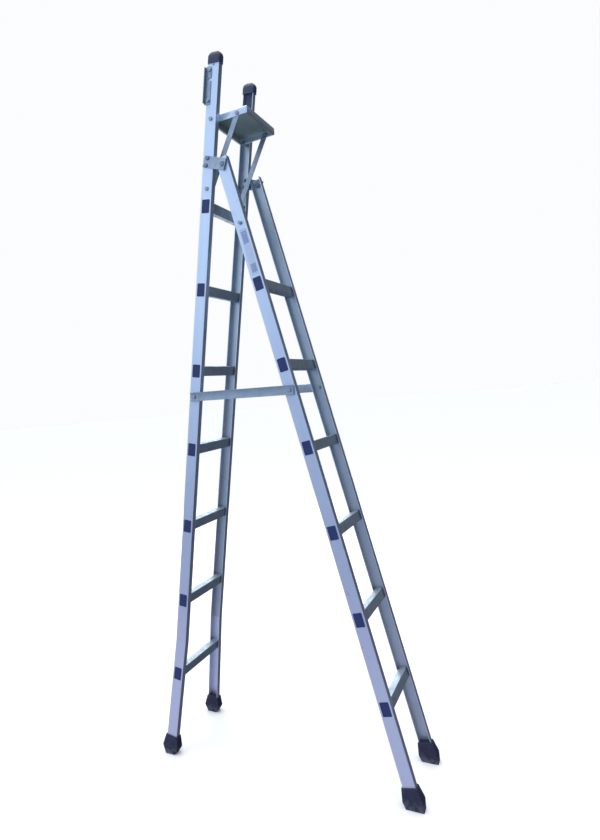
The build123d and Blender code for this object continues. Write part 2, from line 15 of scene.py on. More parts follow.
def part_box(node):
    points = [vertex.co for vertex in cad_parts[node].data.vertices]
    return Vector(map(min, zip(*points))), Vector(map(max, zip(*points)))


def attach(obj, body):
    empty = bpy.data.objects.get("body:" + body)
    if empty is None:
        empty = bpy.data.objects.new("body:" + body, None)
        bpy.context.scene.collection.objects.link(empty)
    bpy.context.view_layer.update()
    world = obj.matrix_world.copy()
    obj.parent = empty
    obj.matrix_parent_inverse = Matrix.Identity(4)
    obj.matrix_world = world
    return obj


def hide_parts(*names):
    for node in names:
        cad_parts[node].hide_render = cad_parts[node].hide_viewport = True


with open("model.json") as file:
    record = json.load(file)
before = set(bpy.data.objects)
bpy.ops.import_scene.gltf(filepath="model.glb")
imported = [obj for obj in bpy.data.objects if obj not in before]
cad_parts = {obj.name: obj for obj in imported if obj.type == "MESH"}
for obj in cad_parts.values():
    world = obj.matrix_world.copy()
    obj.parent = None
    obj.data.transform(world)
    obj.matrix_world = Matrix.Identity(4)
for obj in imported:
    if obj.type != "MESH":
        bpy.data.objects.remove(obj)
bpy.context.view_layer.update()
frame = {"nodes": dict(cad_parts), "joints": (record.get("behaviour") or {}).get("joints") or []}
LOG = logging.getLogger("ladder")

Colour = tuple[float, float, float, float]
Point = tuple[float, float, float]

TOUCHING = 1e-4
SAME_POINT = 1e-6
SQUARE_ON = 0.99
SHARP_EDGE = math.radians(32)
SUNK_WALL = 0.25
NOISE_ROUGHNESS = 0.55
BUMP_STRENGTH = 0.6


# Shader maths


class Signal:
    """A shader socket that can stand in a Python expression."""

    def __init__(self, graph: "Graph", socket: bpy.types.NodeSocket | None) -> None:
        """Keep the graph that the socket belongs to, and the socket, which a closing node lacks."""
        self.graph = graph
        self.socket = socket

    def _maths(self, operation: str, *operands: "Signal | float") -> "Signal":
        """Return the result of one Math node."""
        return self.graph.node("ShaderNodeMath", {"operation": operation}, dict(enumerate(operands)))

    def __add__(self, other: "Signal | float") -> "Signal":
        """Return self + other."""
        return self._maths("ADD", self, other)

    def __radd__(self, other: float) -> "Signal":
        """Return other + self."""
        return self._maths("ADD", other, self)

    def __sub__(self, other: "Signal | float") -> "Signal":
        """Return self - other."""
        return self._maths("SUBTRACT", self, other)

    def __rsub__(self, other: float) -> "Signal":
        """Return other - self."""
        return self._maths("SUBTRACT", other, self)

    def __mul__(self, other: "Signal | float") -> "Signal":
        """Return self * other."""
        return self._maths("MULTIPLY", self, other)

    def __rmul__(self, other: float) -> "Signal":
        """Return other * self."""
        return self._maths("MULTIPLY", other, self)

    def __abs__(self) -> "Signal":
        """Return the size of self without its sign."""
        return self._maths("ABSOLUTE", self)

    def band(self, start: float, end: float) -> "Signal":
        """Return a smooth step from 0 at start to 1 at end, in either direction.

        Args:
            start: the value that gives 0.
            end: the value that gives 1.

        Returns:
            The step, from 0 to 1.
        """
        low, high, at_low, at_high = (start, end, 0.0, 1.0) if start < end else (end, start, 1.0, 0.0)
        ports = {"Value": self, "From Min": low, "From Max": high, "To Min": at_low, "To Max": at_high}
        return self.graph.node("ShaderNodeMapRange", {"interpolation_type": "SMOOTHSTEP"}, ports)


class Graph:
    """The node tree of one material, started on Object coordinates turned into a section's own frame."""

    def __init__(self, name: str, origin: Point = (0.0, 0.0, 0.0), turn: float = 0.0) -> None:
        """Start an empty material.

        Args:
            name: the material's name.
            origin: the point that the pattern is centred on.
            turn: the turn of the pattern about X, in radians.
        """
        self.material = bpy.data.materials.new(name)
        self.material.use_nodes = True
        self.tree = self.material.node_tree
        self.tree.nodes.clear()
        self.world = self.node("ShaderNodeTexCoord", output="Object")
        ports = {"Vector": self.world, "Location": origin, "Rotation": (turn, 0.0, 0.0)}
        self.place = self.node("ShaderNodeMapping", {"vector_type": "TEXTURE"}, ports)

    def node(
        self,
        kind: str,
        settings: dict[str, object] | None = None,
        ports: dict[int | str, object] | None = None,
        output: int | str = 0,
    ) -> Signal:
        """Add any node.

        Args:
            kind: the node's type.
            settings: the node's own settings, set first.
            ports: the values or signals of its input sockets.
            output: the output socket to use.

        Returns:
            The chosen output.
        """
        made = self.tree.nodes.new(kind)
        for name, value in (settings or {}).items():
            setattr(made, name, value)
        for name, value in (ports or {}).items():
            if isinstance(value, Signal):
                self.tree.links.new(value.socket, made.inputs[name])
            else:
                made.inputs[name].default_value = value
        return Signal(self, made.outputs[output] if made.outputs else None)

    def axis(self, name: str, source: Signal | None = None) -> Signal:
        """Return one coordinate, X, Y or Z, of the placed pattern or of another vector."""
        return self.node("ShaderNodeSeparateXYZ", None, {0: source or self.place}, name)

    def stretched(self, x: float, y: float, z: float) -> Signal:
        """Return the placed coordinates times a different factor along each axis."""
        return self.node("ShaderNodeVectorMath", {"operation": "MULTIPLY"}, {0: self.place, 1: (x, y, z)})

    def noise(self, scale: float, detail: float = 3.0, at: Signal | None = None) -> Signal:
        """Return smooth noise from 0 to 1.

        Args:
            scale: the noise's features per metre, or per unit of the coordinates given.
            detail: how many finer layers it has.
            at: the coordinates, or the placed ones.

        Returns:
            The noise.
        """
        ports = {"Vector": at or self.place, "Scale": scale, "Detail": detail, "Roughness": NOISE_ROUGHNESS}
        return self.node("ShaderNodeTexNoise", {"noise_dimensions": "3D"}, ports)

    def hairlines(self, x: float, y: float, z: float, width: float) -> Signal:
        """Return thin scratches drawn out along the axes with the smaller factors."""
        return abs(self.noise(1.0, 2.0, self.stretched(x, y, z)) - 0.5).band(width, 0.0)

    def blend(self, first: Signal | Colour, second: Signal | Colour, share: Signal | float) -> Signal:
        """Return a colour between two colours, share of the way to the second."""
        return self.node("ShaderNodeMix", {"data_type": "RGBA"}, {0: share, 6: first, 7: second}, 2)

    def finish(
        self,
        colour: Signal,
        roughness: Signal,
        height: Signal,
        depth: float,
        constants: dict[str, object],
        metal: Signal | None = None,
    ) -> bpy.types.Material:
        """Close the material with one Principled shader and a bump.

        Args:
            colour: the base colour.
            roughness: the roughness.
            height: the surface's height, from 0 to 1.
            depth: the height's full size in metres.
            constants: shader inputs that are the same all over.
            metal: how metallic the surface is, where that varies.

        Returns:
            The finished material.
        """
        bump = {"Height": height, "Distance": depth, "Strength": BUMP_STRENGTH}
        normal = self.node("ShaderNodeBump", None, bump)
        ports = {"Base Color": colour, "Roughness": roughness, "Normal": normal, **constants}
        if metal is not None:
            ports["Metallic"] = metal
        shader = self.node("ShaderNodeBsdfPrincipled", None, ports)
        self.node("ShaderNodeOutputMaterial", None, {"Surface": shader})
        return self.material


# Finishes


class Tint(Enum):
    """The base colours of the ladder's stuffs, linear."""

    # The blue cast of the bright and dull aluminium tints is painted sky reflection.
    BRIGHT_ALUMINIUM = (0.72, 0.84, 0.98, 1.0)
    DULL_ALUMINIUM = (0.54, 0.65, 0.80, 1.0)
    # Painted reflection: the darker violet that the stiles fade to towards their feet.
    VIOLET_PAINTED_SKY_FADE = (0.53, 0.50, 0.61, 1.0)
    # Painted highlight for the lower stiles.
    PALE_PAINTED_HIGHLIGHT = (0.84, 0.82, 0.96, 1.0)
    TREAD_ALUMINIUM = (0.50, 0.57, 0.56, 1.0)
    # Oxide grey for scuffs and grime, also used as painted shade inside the stile channels.
    OXIDE_AND_SHADE = (0.33, 0.38, 0.37, 1.0)
    # Painted shade for the tray's underside.
    UNDERSIDE_SHADE = (0.46, 0.53, 0.46, 1.0)
    ZINC = (0.43, 0.52, 0.61, 1.0)
    ZINC_CLOUD = (0.31, 0.37, 0.43, 1.0)
    DARK_ZINC = (0.10, 0.12, 0.22, 1.0)
    RUST = (0.20, 0.12, 0.08, 1.0)
    NAVY = (0.016, 0.028, 0.125, 1.0)
    NAVY_FADED = (0.035, 0.058, 0.19, 1.0)
    SLATE_NAVY = (0.036, 0.048, 0.098, 1.0)
    SLATE_FADED = (0.075, 0.094, 0.16, 1.0)
    RUBBER = (0.012, 0.012, 0.042, 1.0)
    RUBBER_WORN = (0.026, 0.028, 0.066, 1.0)
    DUST = (0.42, 0.41, 0.42, 1.0)
    FILM = (0.56, 0.66, 0.84, 1.0)
    FILM_PANEL = (0.24, 0.32, 0.52, 1.0)
    FLOOR = (0.90, 0.89, 0.87, 1.0)
    FLOOR_CLOUD = (0.86, 0.85, 0.83, 1.0)
    FLOOR_GLOW = (1.0, 0.97, 0.88, 1.0)


@dataclass(frozen=True)
class Extrusion:
    """Mill-finished channel: die lines along the stile, rubbed edges, a painted sky reflection that goes darker
    and more violet to the feet, a painted highlight low down and painted shade inside the channel.
    """

    origin: Point
    turn: float
    half_web: float = 0.022
    tall: float = 2.4
    rub: float = 0.0032
    inner_web: tuple[float, float] = (0.1590, 0.1582)
    inner_flange: tuple[float, float] = (0.0202, 0.0197)

    def material(self, name: str) -> bpy.types.Material:
        """Return the channel's material."""
        g = Graph(name, self.origin, self.turn)
        die = g.noise(1.0, 4.0, g.stretched(420.0, 420.0, 1.2))
        bands = g.noise(1.0, 2.0, g.stretched(55.0, 55.0, 0.7))
        cloud = g.noise(6.0, 5.0)
        scratch = g.hairlines(90.0, 150.0, 9.0, 0.010) * g.noise(4.0).band(0.45, 0.7)
        scuff = g.noise(38.0, 6.0).band(0.58, 0.75) * g.noise(3.0).band(0.4, 0.65)
        rubbed = abs(g.axis("Y")).band(self.half_web - self.rub, self.half_web) * g.noise(22.0).band(0.3, 0.6)
        # Painted reflection: the blue sky tint is painted strongest high on the stile and fades to a darker
        # violet down to the feet.
        low = g.axis("Z", g.world).band(self.tall * 0.8, 0.0)
        body = g.blend(Tint.DULL_ALUMINIUM.value, Tint.BRIGHT_ALUMINIUM.value, cloud * 0.6 + bands * 0.5)
        body = g.blend(body, Tint.VIOLET_PAINTED_SKY_FADE.value, low * 0.75)
        # Painted highlight: the stile is painted paler from about a metre up down to the feet, standing in for
        # light that the lamps don't reflect there.
        foot = g.axis("Z", g.world).band(self.tall * 0.42, self.tall * 0.06)
        body = g.blend(body, Tint.PALE_PAINTED_HIGHLIGHT.value, foot * 0.85)
        body = g.blend(body, Tint.OXIDE_AND_SHADE.value, scuff * 0.45)
        body = g.blend(body, Tint.BRIGHT_ALUMINIUM.value, rubbed * 0.6)
        # Painted shade: the inner faces of the channel are painted darker and greener.
        inside = abs(g.axis("X")).band(*self.inner_web) * abs(g.axis("Y")).band(*self.inner_flange)
        body = g.blend(body, Tint.OXIDE_AND_SHADE.value, inside * (0.35 + cloud * 0.35))
        dull = 0.33 + cloud * 0.12 + die * 0.10 + scuff * 0.18 - rubbed * 0.10
        height = die * 0.35 + bands * 0.45 - scratch * 0.5
        return g.finish(body, dull, height, 0.00012, {"Metallic": 0.92})


@dataclass(frozen=True)
class GripRung:
    """Grooved rung: die lines along X, trodden bright on top at the middle, grey in the grooves."""

    origin: Point
    turn: float

    def material(self, name: str) -> bpy.types.Material:
        """Return the rung's material."""
        g = Graph(name, self.origin, self.turn)
        die = g.noise(1.0, 4.0, g.stretched(1.5, 500.0, 500.0))
        cloud = g.noise(9.0, 5.0)
        scratch = g.hairlines(18.0, 120.0, 120.0, 0.012) * g.noise(11.0).band(0.4, 0.65)
        trodden = abs(g.axis("X")).band(0.13, 0.03) * g.noise(16.0, 4.0).band(0.35, 0.65)
        ends = abs(g.axis("X")).band(0.125, 0.16)
        grime = g.noise(30.0, 6.0).band(0.5, 0.75)
        body = g.blend(Tint.TREAD_ALUMINIUM.value, Tint.DULL_ALUMINIUM.value, cloud)
        body = g.blend(body, Tint.BRIGHT_ALUMINIUM.value, trodden * 0.5)
        body = g.blend(body, Tint.OXIDE_AND_SHADE.value, grime * 0.35 + ends * 0.3)
        dull = 0.40 + cloud * 0.12 + grime * 0.15 - trodden * 0.10
        return g.finish(body, dull, die * 0.5 + cloud * 0.2 - scratch * 0.5, 0.00012, {"Metallic": 0.9})


@dataclass(frozen=True)
class FoldedSheet:
    """Rolled sheet for the tray: grain across it, foot scuffs and a rougher underside painted with shade."""

    origin: Point
    turn: float
    underside_shade: float = 0.0
    under: tuple[float, float] = (-0.0008, -0.0016)
    half_deep: tuple[float, float] = (0.0735, 0.0725)
    half_wide: tuple[float, float] = (0.1265, 0.1255)

    def material(self, name: str) -> bpy.types.Material:
        """Return the sheet's material."""
        g = Graph(name, self.origin, self.turn)
        grain = g.noise(1.0, 4.0, g.stretched(2.0, 340.0, 340.0))
        cloud = g.noise(8.0, 5.0)
        scratch = g.hairlines(60.0, 34.0, 60.0, 0.010) * g.noise(7.0).band(0.4, 0.6)
        scuff = g.noise(45.0, 6.0).band(0.52, 0.75)
        body = g.blend(Tint.DULL_ALUMINIUM.value, Tint.BRIGHT_ALUMINIUM.value, cloud + 0.25)
        body = g.blend(body, Tint.OXIDE_AND_SHADE.value, scuff * 0.5)
        # Painted shade: the faces under the tray, inside its skirts, are painted a darker green-grey and made
        # rougher.
        below = g.axis("Z").band(*self.under) * abs(g.axis("Y")).band(*self.half_deep)
        hidden = below * abs(g.axis("X")).band(*self.half_wide) * self.underside_shade
        body = g.blend(body, Tint.UNDERSIDE_SHADE.value, hidden)
        dull = 0.36 + cloud * 0.15 + scuff * 0.2 + hidden * 0.12
        return g.finish(body, dull, grain * 0.4 + cloud * 0.3 - scratch * 0.6, 0.00014, {"Metallic": 0.92})


@dataclass(frozen=True)
class ZincPlating:
    """Zinc-plated steel: clouded bluish crystals, drawn grain and a little rust."""

    origin: Point
    turn: float
    clear: Tint = Tint.ZINC
    clouded: Tint = Tint.ZINC_CLOUD
    rust: float = 0.25

    def material(self, name: str) -> bpy.types.Material:
        """Return the plating's material."""
        g = Graph(name, self.origin, self.turn)
        spangle = g.node("ShaderNodeTexVoronoi", {"feature": "F1"}, {"Vector": g.place, "Scale": 130.0})
        cloud = g.noise(24.0, 5.0)
        grain = g.noise(1.0, 3.0, g.stretched(300.0, 18.0, 300.0))
        spots = g.noise(85.0, 5.0).band(0.62, 0.74) * g.noise(18.0).band(0.5, 0.7)
        body = g.blend(self.clear.value, self.clouded.value, cloud * 0.7 + spangle * 0.5)
        body = g.blend(body, Tint.RUST.value, spots * self.rust)
        dull = 0.30 + cloud * 0.18 + spangle * 0.12 + spots * 0.35
        metal = 0.95 - spots * 0.6
        return g.finish(body, dull, grain * 0.3 + cloud * 0.4 + spots * 0.4, 0.00012, {}, metal)


@dataclass(frozen=True)
class MouldedPlastic:
    """Moulded plastic: fine spark texture, flow marks, sun-faded and scuffed patches."""

    deep: Tint
    faded: Tint
    gloss: float = 0.42
    dust: float = 0.12

    def material(self, name: str) -> bpy.types.Material:
        """Return the plastic's material."""
        g = Graph(name)
        spark = g.noise(1500.0, 2.0)
        flow = g.noise(26.0, 4.0)
        worn = g.noise(70.0, 6.0).band(0.5, 0.72)
        speck = g.noise(240.0, 4.0).band(0.6, 0.72) * g.noise(14.0).band(0.35, 0.65)
        body = g.blend(self.deep.value, self.faded.value, flow * 0.6 + worn * 0.5)
        body = g.blend(body, Tint.DUST.value, speck * self.dust)
        dull = self.gloss + flow * 0.12 + worn * 0.16 + speck * 0.2
        return g.finish(body, dull, spark * 0.5 + flow * 0.4 - worn * 0.3, 0.00016, {"IOR": 1.48})


@dataclass(frozen=True)
class BootRubber:
    """Moulded rubber: matt, pitted, dusty and rubbed grey towards the floor."""

    dusty: float = 0.045

    def material(self, name: str) -> bpy.types.Material:
        """Return the rubber's material."""
        g = Graph(name)
        pits = g.noise(900.0, 3.0)
        patch = g.noise(32.0, 5.0)
        worn = g.noise(90.0, 6.0).band(0.5, 0.7)
        near_floor = g.axis("Z").band(self.dusty, 0.0) * g.noise(60.0, 5.0).band(0.35, 0.6)
        body = g.blend(Tint.RUBBER.value, Tint.RUBBER_WORN.value, patch * 0.7 + worn * 0.4)
        body = g.blend(body, Tint.DUST.value, near_floor * 0.30 + worn * 0.04)
        dull = 0.56 + patch * 0.18 + near_floor * 0.2
        return g.finish(body, dull, pits * 0.5 + patch * 0.6 - worn * 0.4, 0.00030, {"IOR": 1.5})


@dataclass(frozen=True)
class PrintedFilm:
    """Plain label film: two flat panels with no lettering, creased and worn in patches."""

    origin: Point
    turn: float
    middle: float
    reach: float
    offset: float = 0.002
    half_panel: tuple[float, float] = (0.0108, 0.0103)
    panels: tuple[tuple[float, float], ...] = ((0.36, 0.90), (-0.90, -0.52))
    soft: float = 0.01

    def material(self, name: str) -> bpy.types.Material:
        """Return the film's material."""
        g = Graph(name, self.origin, self.turn)
        along = (g.axis("Z") - self.middle) * (1.0 / self.reach)
        inside = abs(g.axis("Y") - self.offset).band(*self.half_panel)
        head, foot = (
            along.band(low, low + self.soft) * along.band(high, high - self.soft) for low, high in self.panels
        )
        crease = g.hairlines(40.0, 160.0, 26.0, 0.014)
        cloud = g.noise(40.0, 5.0)
        worn = g.noise(120.0, 5.0).band(0.55, 0.68)
        body = g.blend(Tint.FILM.value, Tint.BRIGHT_ALUMINIUM.value, cloud * 0.5)
        body = g.blend(body, Tint.FILM_PANEL.value, (head + foot) * inside * 0.8)
        body = g.blend(body, Tint.BRIGHT_ALUMINIUM.value, worn * 0.6)
        dull = 0.28 + cloud * 0.15 + worn * 0.25
        return g.finish(body, dull, cloud * 0.3 - crease * 0.5, 0.00010, {"Coat Weight": 0.2})


@dataclass(frozen=True)
class PaleFloor:
    """Matt pale studio floor with the faintest clouding."""

    shine: float = 0.2
    glow: float = 0.06

    def material(self, name: str) -> bpy.types.Material:
        """Return the floor's material."""
        g = Graph(name)
        cloud = g.noise(1.3, 4.0)
        grain = g.noise(160.0, 3.0)
        body = g.blend(Tint.FLOOR.value, Tint.FLOOR_CLOUD.value, cloud * 0.5)
        constants = {
            "Specular IOR Level": self.shine,
            "Emission Color": Tint.FLOOR_GLOW.value,
            "Emission Strength": self.glow,
        }
        return g.finish(body, 0.75 + cloud * 0.1, grain, 0.00010, constants)


# Shapes


class Side(Enum):
    """The two sides of the ladder."""

    RIGHT = 1.0
    LEFT = -1.0

    def node(self, stem: str) -> str:
        """Return the name of the part on this side."""
        return f"{stem}_{self.name.lower()}"

    def turned(self) -> Matrix:
        """Return the matrix that takes a right-hand shape to this side."""
        return Matrix.Diagonal((self.value, 1.0, 1.0, 1.0))


@dataclass(frozen=True)
class Rail:
    """The frame of one ladder section: x along the rungs, z up the stiles, y square to both."""

    origin: Vector
    turn: float

    @classmethod
    def through(cls, low: str, high: str, origin: Vector | None = None) -> "Rail":
        """Return the frame that runs from one rung to a higher one.

        Args:
            low: the lower rung's node.
            high: the higher rung's node.
            origin: the frame's origin, or the lower rung's middle.

        Returns:
            The section's frame.
        """
        ends = [sum(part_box(name), Vector()) / 2 for name in (low, high)]
        run = ends[1] - ends[0]
        return cls(origin or ends[0], -math.atan2(run.y, run.z))

    def matrix(self) -> Matrix:
        """Return the matrix from this frame to the floor's."""
        return Matrix.Translation(self.origin) @ Matrix.Rotation(self.turn, 4, "X")

    def local(self, point: Vector) -> Vector:
        """Return a point of the floor's frame in this frame."""
        return self.matrix().inverted() @ point

    def key(self) -> tuple[Point, float]:
        """Return the origin and the turn as plain numbers for a material."""
        return tuple(self.origin), self.turn


def corners_in(geometry: Iterable[object]) -> list[bmesh.types.BMVert]:
    """Return the corners among mixed corners, edges and faces."""
    return [part for part in geometry if isinstance(part, bmesh.types.BMVert)]


def outline(faces: Iterable[bmesh.types.BMFace]) -> list[bmesh.types.BMEdge]:
    """Return the edges of some faces, each once and in a steady order."""
    return list(dict.fromkeys(edge for face in faces for edge in face.edges))


class Shape:
    """A mesh being made with the modelling operators, and the ways it is cut and softened."""

    def __init__(self) -> None:
        """Start with nothing."""
        self.bm = bmesh.new()

    def block(self, size: Point, centre: Point = (0.0, 0.0, 0.0)) -> list[bmesh.types.BMVert]:
        """Add a block to be shaped, and return its corners."""
        corners = bmesh.ops.create_cube(self.bm, size=1.0)["verts"]
        bmesh.ops.scale(self.bm, vec=size, verts=corners)
        bmesh.ops.translate(self.bm, vec=centre, verts=corners)
        return corners

    def edges_along(self, axis: int, corners: Iterable[bmesh.types.BMVert]) -> list[bmesh.types.BMEdge]:
        """Return the edges of some corners that run along an axis."""
        found = dict.fromkeys(edge for corner in corners for edge in corner.link_edges)
        return [e for e in found if abs((e.verts[0].co - e.verts[1].co).normalized()[axis]) > SQUARE_ON]

    def soften(self, edges: Iterable[bmesh.types.BMEdge], radius: float, segments: int = 2) -> None:
        """Round some edges."""
        bmesh.ops.bevel(
            self.bm, geom=list(edges), offset=radius, offset_type="OFFSET", segments=segments,
            profile=0.5, affect="EDGES", material=-1, clamp_overlap=True,
        )

    def faces_towards(self, axis: int, sign: float) -> list[bmesh.types.BMFace]:
        """Return the faces that look along an axis."""
        self.bm.normal_update()
        return [f for f in self.bm.faces if f.normal[axis] * sign > SQUARE_ON]

    def cut(self, level: float, drop: bool = False) -> None:
        """Cut straight across at a height, and drop what is below the cut if asked.

        Args:
            level: the height of the cut.
            drop: whether the part below is taken off and the cut closed.
        """
        upwards = Vector((0.0, 0.0, 1.0))
        geometry = [*self.bm.verts, *self.bm.edges, *self.bm.faces]
        bmesh.ops.bisect_plane(
            self.bm, geom=geometry, dist=SAME_POINT, plane_co=upwards * level, plane_no=upwards,
            clear_inner=drop,
        )
        if drop:
            bmesh.ops.holes_fill(self.bm, edges=[e for e in self.bm.edges if e.is_boundary], sides=0)

    def ring(self, level: float) -> list[bmesh.types.BMVert]:
        """Return the corners at a height."""
        return [v for v in self.bm.verts if abs(v.co.z - level) <= TOUCHING]

    def scale(self, corners: list[bmesh.types.BMVert], factors: Point) -> None:
        """Scale some corners about the z axis."""
        bmesh.ops.scale(self.bm, vec=factors, verts=corners)

    def sunk(self, faces: list[bmesh.types.BMFace], rim: float, depth: float) -> None:
        """Sink a panel into some faces, leaving a rim and a steep wall."""
        for inwards, down in ((rim, 0.0), (depth * SUNK_WALL, depth)):
            bmesh.ops.inset_region(self.bm, faces=faces, thickness=inwards, depth=-down, use_even_offset=True)

    def strip(self, line: list[Point], run: Point, thick: float, fold: float) -> None:
        """Add sheet metal bent along a line and drawn out along a run.

        Args:
            line: the sheet's corners in section, end to end.
            run: how far and which way the section is drawn out.
            thick: the sheet's thickness, laid to the left of the line.
            fold: the radius of the folds.
        """
        corners = [self.bm.verts.new(point) for point in line]
        edges = [self.bm.edges.new(pair) for pair in zip(corners, corners[1:])]
        if len(corners) > 2:
            bmesh.ops.bevel(
                self.bm, geom=corners[1:-1], offset=fold, offset_type="OFFSET", segments=4,
                profile=0.5, affect="VERTICES", material=-1, clamp_overlap=True,
            )
            edges = self.bm.edges[:]
        made = bmesh.ops.extrude_edge_only(self.bm, edges=edges)["geom"]
        bmesh.ops.translate(self.bm, vec=run, verts=corners_in(made))
        faces = [f for f in made if isinstance(f, bmesh.types.BMFace)]
        bmesh.ops.recalc_face_normals(self.bm, faces=faces)
        bmesh.ops.solidify(self.bm, geom=faces, thickness=thick)

    def move(self, matrix: Matrix, corners: list[bmesh.types.BMVert] | None = None) -> None:
        """Turn and shift some corners, or all of them."""
        bmesh.ops.transform(self.bm, matrix=matrix, verts=corners or self.bm.verts[:])

    def join(self, other: "Shape", matrix: Matrix) -> None:
        """Add a copy of another shape, placed by a matrix."""
        spare = bpy.data.meshes.new("spare")
        other.bm.to_mesh(spare)
        spare.transform(matrix)
        self.bm.from_mesh(spare)
        bpy.data.meshes.remove(spare)

    def piece(self, name: str, body: str, slot: str, finish: bpy.types.Material, stands_for: str) -> None:
        """Close the mesh and make it a piece of the ladder.

        Args:
            name: the piece's name.
            body: the moving body that it rides on.
            slot: the record's material slot; not used.
            finish: its material.
            stands_for: the part that it is shown in place of.
        """
        bmesh.ops.remove_doubles(self.bm, verts=self.bm.verts[:], dist=SAME_POINT)
        bmesh.ops.recalc_face_normals(self.bm, faces=self.bm.faces[:])
        data = bpy.data.meshes.new(name)
        self.bm.to_mesh(data)
        self.bm.free()
        data.shade_smooth()
        data.set_sharp_from_angle(angle=SHARP_EDGE)
        data.materials.append(finish)
        made = bpy.data.objects.new(name, data)
        bpy.context.scene.collection.objects.link(made)
        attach(made, body)
        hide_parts(stands_for)
        LOG.info("made %s on %s, %d faces", name, body, len(data.polygons))


# Sub-assemblies


@dataclass
class Paint:
    """The materials, made once and handed to every sub-assembly."""

    base: Rail
    prop: Rail
    bare: dict[str, bpy.types.Material] = field(default_factory=dict)

    def __post_init__(self) -> None:
        """Make every material."""
        low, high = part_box("platform_tray")
        tray = ((0.0, (low.y + high.y) / 2, high.z), 0.0)
        made = {
            "base_channel": Extrusion(*self.base.key()),
            "prop_channel": Extrusion(*self.prop.key()),
            "base_rung_grip": GripRung(*self.base.key()),
            "prop_rung_grip": GripRung(*self.prop.key()),
            "tray_sheet": FoldedSheet(*tray, underside_shade=0.9),
            "zinc_plate": ZincPlating(*self.base.key()),
            "zinc_fastener": ZincPlating(*self.base.key(), rust=0.5),
            "dark_fastener": ZincPlating(*self.base.key(), clear=Tint.DARK_ZINC, clouded=Tint.ZINC_CLOUD),
            "plug_navy": MouldedPlastic(Tint.NAVY, Tint.NAVY_FADED),
            "cap_navy": MouldedPlastic(Tint.SLATE_NAVY, Tint.SLATE_FADED, 0.5, 0.2),
            "boot_rubber": BootRubber(),
        }
        self.bare = {name: finish.material(name) for name, finish in made.items()}

    def __getitem__(self, name: str) -> bpy.types.Material:
        """Return a material by its name."""
        return self.bare[name]


@dataclass
class Metalwork:
    """The extruded, drawn and turned parts whose solids stay as they are: they only take a finish."""

    paint: Paint
    dark: tuple[str, ...] = ("hinge_plate_bolts", "hinge_pivot_bolts")

    def finish_for(self, node: str) -> bpy.types.Material:
        """Return the material that suits a node's name."""
        section = "prop" if node.startswith("prop") else "base"
        if "stile" in node:
            return self.paint[f"{section}_channel"]
        if "plugs" in node:
            return self.paint["plug_navy"]
        if "rung" in node:
            return self.paint[f"{section}_rung_grip"]
        if node in self.dark:
            return self.paint["dark_fastener"]
        if "_cap_" in node:
            return self.paint["cap_navy"]
        if "boot" in node:
            return self.paint["boot_rubber"]
        if node.startswith("platform_t") or "stay_bar" in node:
            return self.paint["tray_sheet"]
        if "plate" in node or "platform_strut" in node:
            return self.paint["zinc_plate"]
        return self.paint["zinc_fastener"]

    def dress(self) -> None:
        """Give every node of the frame its material."""
        for name, part in frame["nodes"].items():
            part.data.materials.clear()
            part.data.materials.append(self.finish_for(name))
        LOG.info("dressed %d parts", len(frame["nodes"]))


@dataclass
class TopCaps:
    """The domed caps on the base stiles, each with a tongue inside the channel that has a moulded recess."""

    rail: Rail
    paint: Paint
    level: float
    middle: float = 0.1475
    wide: float = 0.033
    deep: float = 0.052
    tall: float = 0.042
    dome: float = 0.022
    round_x: float = 0.0135
    round_y: float = 0.021
    corner: float = 0.007
    steps: int = 8
    waist: tuple[float, float] = (0.005, 0.009)
    waist_share: Point = (0.965, 0.98, 1.0)
    tongue: Point = (0.0186, 0.0390, 0.068)
    tongue_middle: float = 0.1484
    tongue_root: float = 0.01
    tongue_corner: float = 0.002
    recess: tuple[float, float] = (0.005, 0.003)

    def shape(self) -> Shape:
        """Return the right cap in the section's frame."""
        made = Shape()
        corners = made.block((self.wide, self.deep, self.tall), (0.0, 0.0, -self.tall / 2))
        made.soften(made.edges_along(2, corners), self.corner, 4)
        turns = [math.pi / 2 * i / self.steps for i in range(1, self.steps + 1)]
        for turn in turns[:-1]:
            made.cut(self.dome * (math.sin(turn) - 1.0))
        for turn in turns:
            height, shrink = self.dome * (math.sin(turn) - 1.0), 2 * (1.0 - math.cos(turn))
            share = (1.0 - self.round_x * shrink / self.wide, 1.0 - self.round_y * shrink / self.deep, 1.0)
            made.scale(made.ring(height), share)
        for up in self.waist:
            made.cut(up - self.tall)
        made.scale(made.ring(self.waist[0] - self.tall), self.waist_share)
        made.move(Matrix.Translation((self.middle, 0.0, 0.0)))
        hung = Matrix.Translation((self.tongue_middle, 0.0, -self.tall - self.tongue[2] / 2))
        made.join(self.tongue_shape(), hung)
        return made

    def tongue_shape(self) -> Shape:
        """Return the tongue with its moulded recess."""
        made = Shape()
        wide, deep, tall = self.tongue
        corners = made.block((wide, deep, tall + self.tongue_root), (0.0, 0.0, self.tongue_root / 2))
        made.soften(made.edges_along(2, corners), self.tongue_corner)
        made.sunk(made.faces_towards(0, -1.0), *self.recess)
        return made

    def build(self) -> None:
        """Make both caps."""
        for side in Side:
            made = Shape()
            made.join(self.shape(), side.turned() @ Matrix.Translation((0.0, 0.0, self.level)))
            made.move(self.rail.matrix())
            name = side.node("cap")
            made.piece(name, "base_section", "cap_plastic", self.paint["cap_navy"], side.node("base_cap"))


